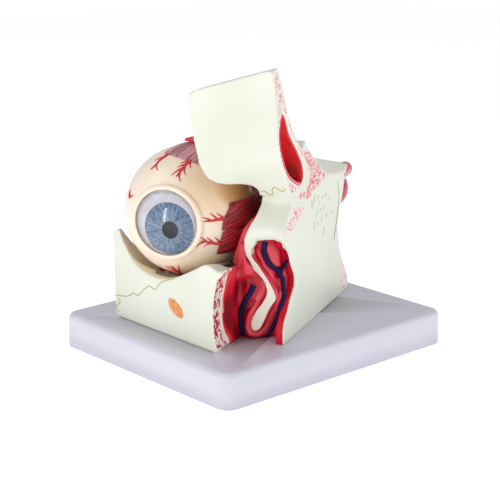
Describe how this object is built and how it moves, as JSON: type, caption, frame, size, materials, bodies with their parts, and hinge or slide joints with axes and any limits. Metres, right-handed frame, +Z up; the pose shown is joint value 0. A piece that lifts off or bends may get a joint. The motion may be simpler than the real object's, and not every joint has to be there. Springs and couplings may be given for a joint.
{
  "type": "anatomical eye model",
  "caption": "Dissectible right eye model, three times life size, lying in the cut bone of its socket and nose on a flat moulded base; the eyeball lifts out and comes apart.",
  "frame": {"origin": "centre of the base's outline, on the surface the feet stand on", "axes": "+Z up, -Y towards the base's front edge, where the cheek's straight face is, +X towards the cut middle plane of the head"},
  "size_m": [0.143, 0.166, 0.1701],
  "materials": {
    "base": "smooth moulded, satin",
    "feet": "matt",
    "screw": "zinc plated",
    "bone": "cast, faintly mottled, satin",
    "nerve_yellow": "painted",
    "mucosa_red": "painted, glossy",
    "artery_red": "painted, glossy",
    "steel_pin": "ground",
    "sclera": "satin, cream white",
    "choroid": "painted dark red brown",
    "cornea_clear": "clear, polished",
    "limbus_white": "satin",
    "iris_blue": "painted with dark rays",
    "lens_clear": "clear, polished",
    "vitreous_clear": "clear, polished",
    "muscle_red": "painted with fine fibres",
    "optic_yellow": "painted"
  },
  "bodies": {
    "stand": {"base_plate": "base", "base_feet": "feet", "mounting_screws": "screw", "cheek_and_orbit_floor": "bone", "infraorbital_nerve": "nerve_yellow", "inner_orbit_wall": "bone", "sphenoid_sinus": "mucosa_red", "carotid_stump": "artery_red", "forehead_bone": "bone", "frontal_sinus_lining": "mucosa_red", "nasal_concha": "bone", "nasal_lining": "mucosa_red"},
    "eye_lower": {"sclera_lower": "sclera", "cornea": "cornea_clear", "limbus_ring": "limbus_white", "iris": "iris_blue", "optic_nerve": "optic_yellow", "inferior_rectus": "muscle_red", "medial_rectus_lower": "muscle_red", "lateral_rectus_lower": "muscle_red", "inferior_oblique": "muscle_red", "locating_pins": "steel_pin"},
    "coat_lower": {"choroid_lower": "choroid"},
    "clear_ball": {"vitreous_body": "vitreous_clear", "lens": "lens_clear"},
    "coat_upper": {"choroid_upper": "choroid"},
    "eye_upper": {"sclera_upper": "sclera", "superior_rectus": "muscle_red", "medial_rectus_upper": "muscle_red", "lateral_rectus_upper": "muscle_red", "levator_stub": "muscle_red", "superior_oblique": "muscle_red"}
  },
  "joints": [
    {"name": "eyeball_lift", "type": "slide", "parent": "stand", "child": "eye_lower", "axis": [0, 0, 1], "range_m": [0, 0.13]},
    {"name": "lower_coat_lift", "type": "slide", "parent": "eye_lower", "child": "coat_lower", "axis": [0, 0, 1], "range_m": [0, 0.12]},
    {"name": "clear_ball_lift", "type": "slide", "parent": "coat_lower", "child": "clear_ball", "axis": [0, 0, 1], "range_m": [0, 0.11]},
    {"name": "upper_coat_lift", "type": "slide", "parent": "clear_ball", "child": "coat_upper", "axis": [0, 0, 1], "range_m": [0, 0.095]},
    {"name": "upper_eye_lift", "type": "slide", "parent": "coat_upper", "child": "eye_upper", "axis": [0, 0, 1], "range_m": [0, 0.095]}
  ]
}
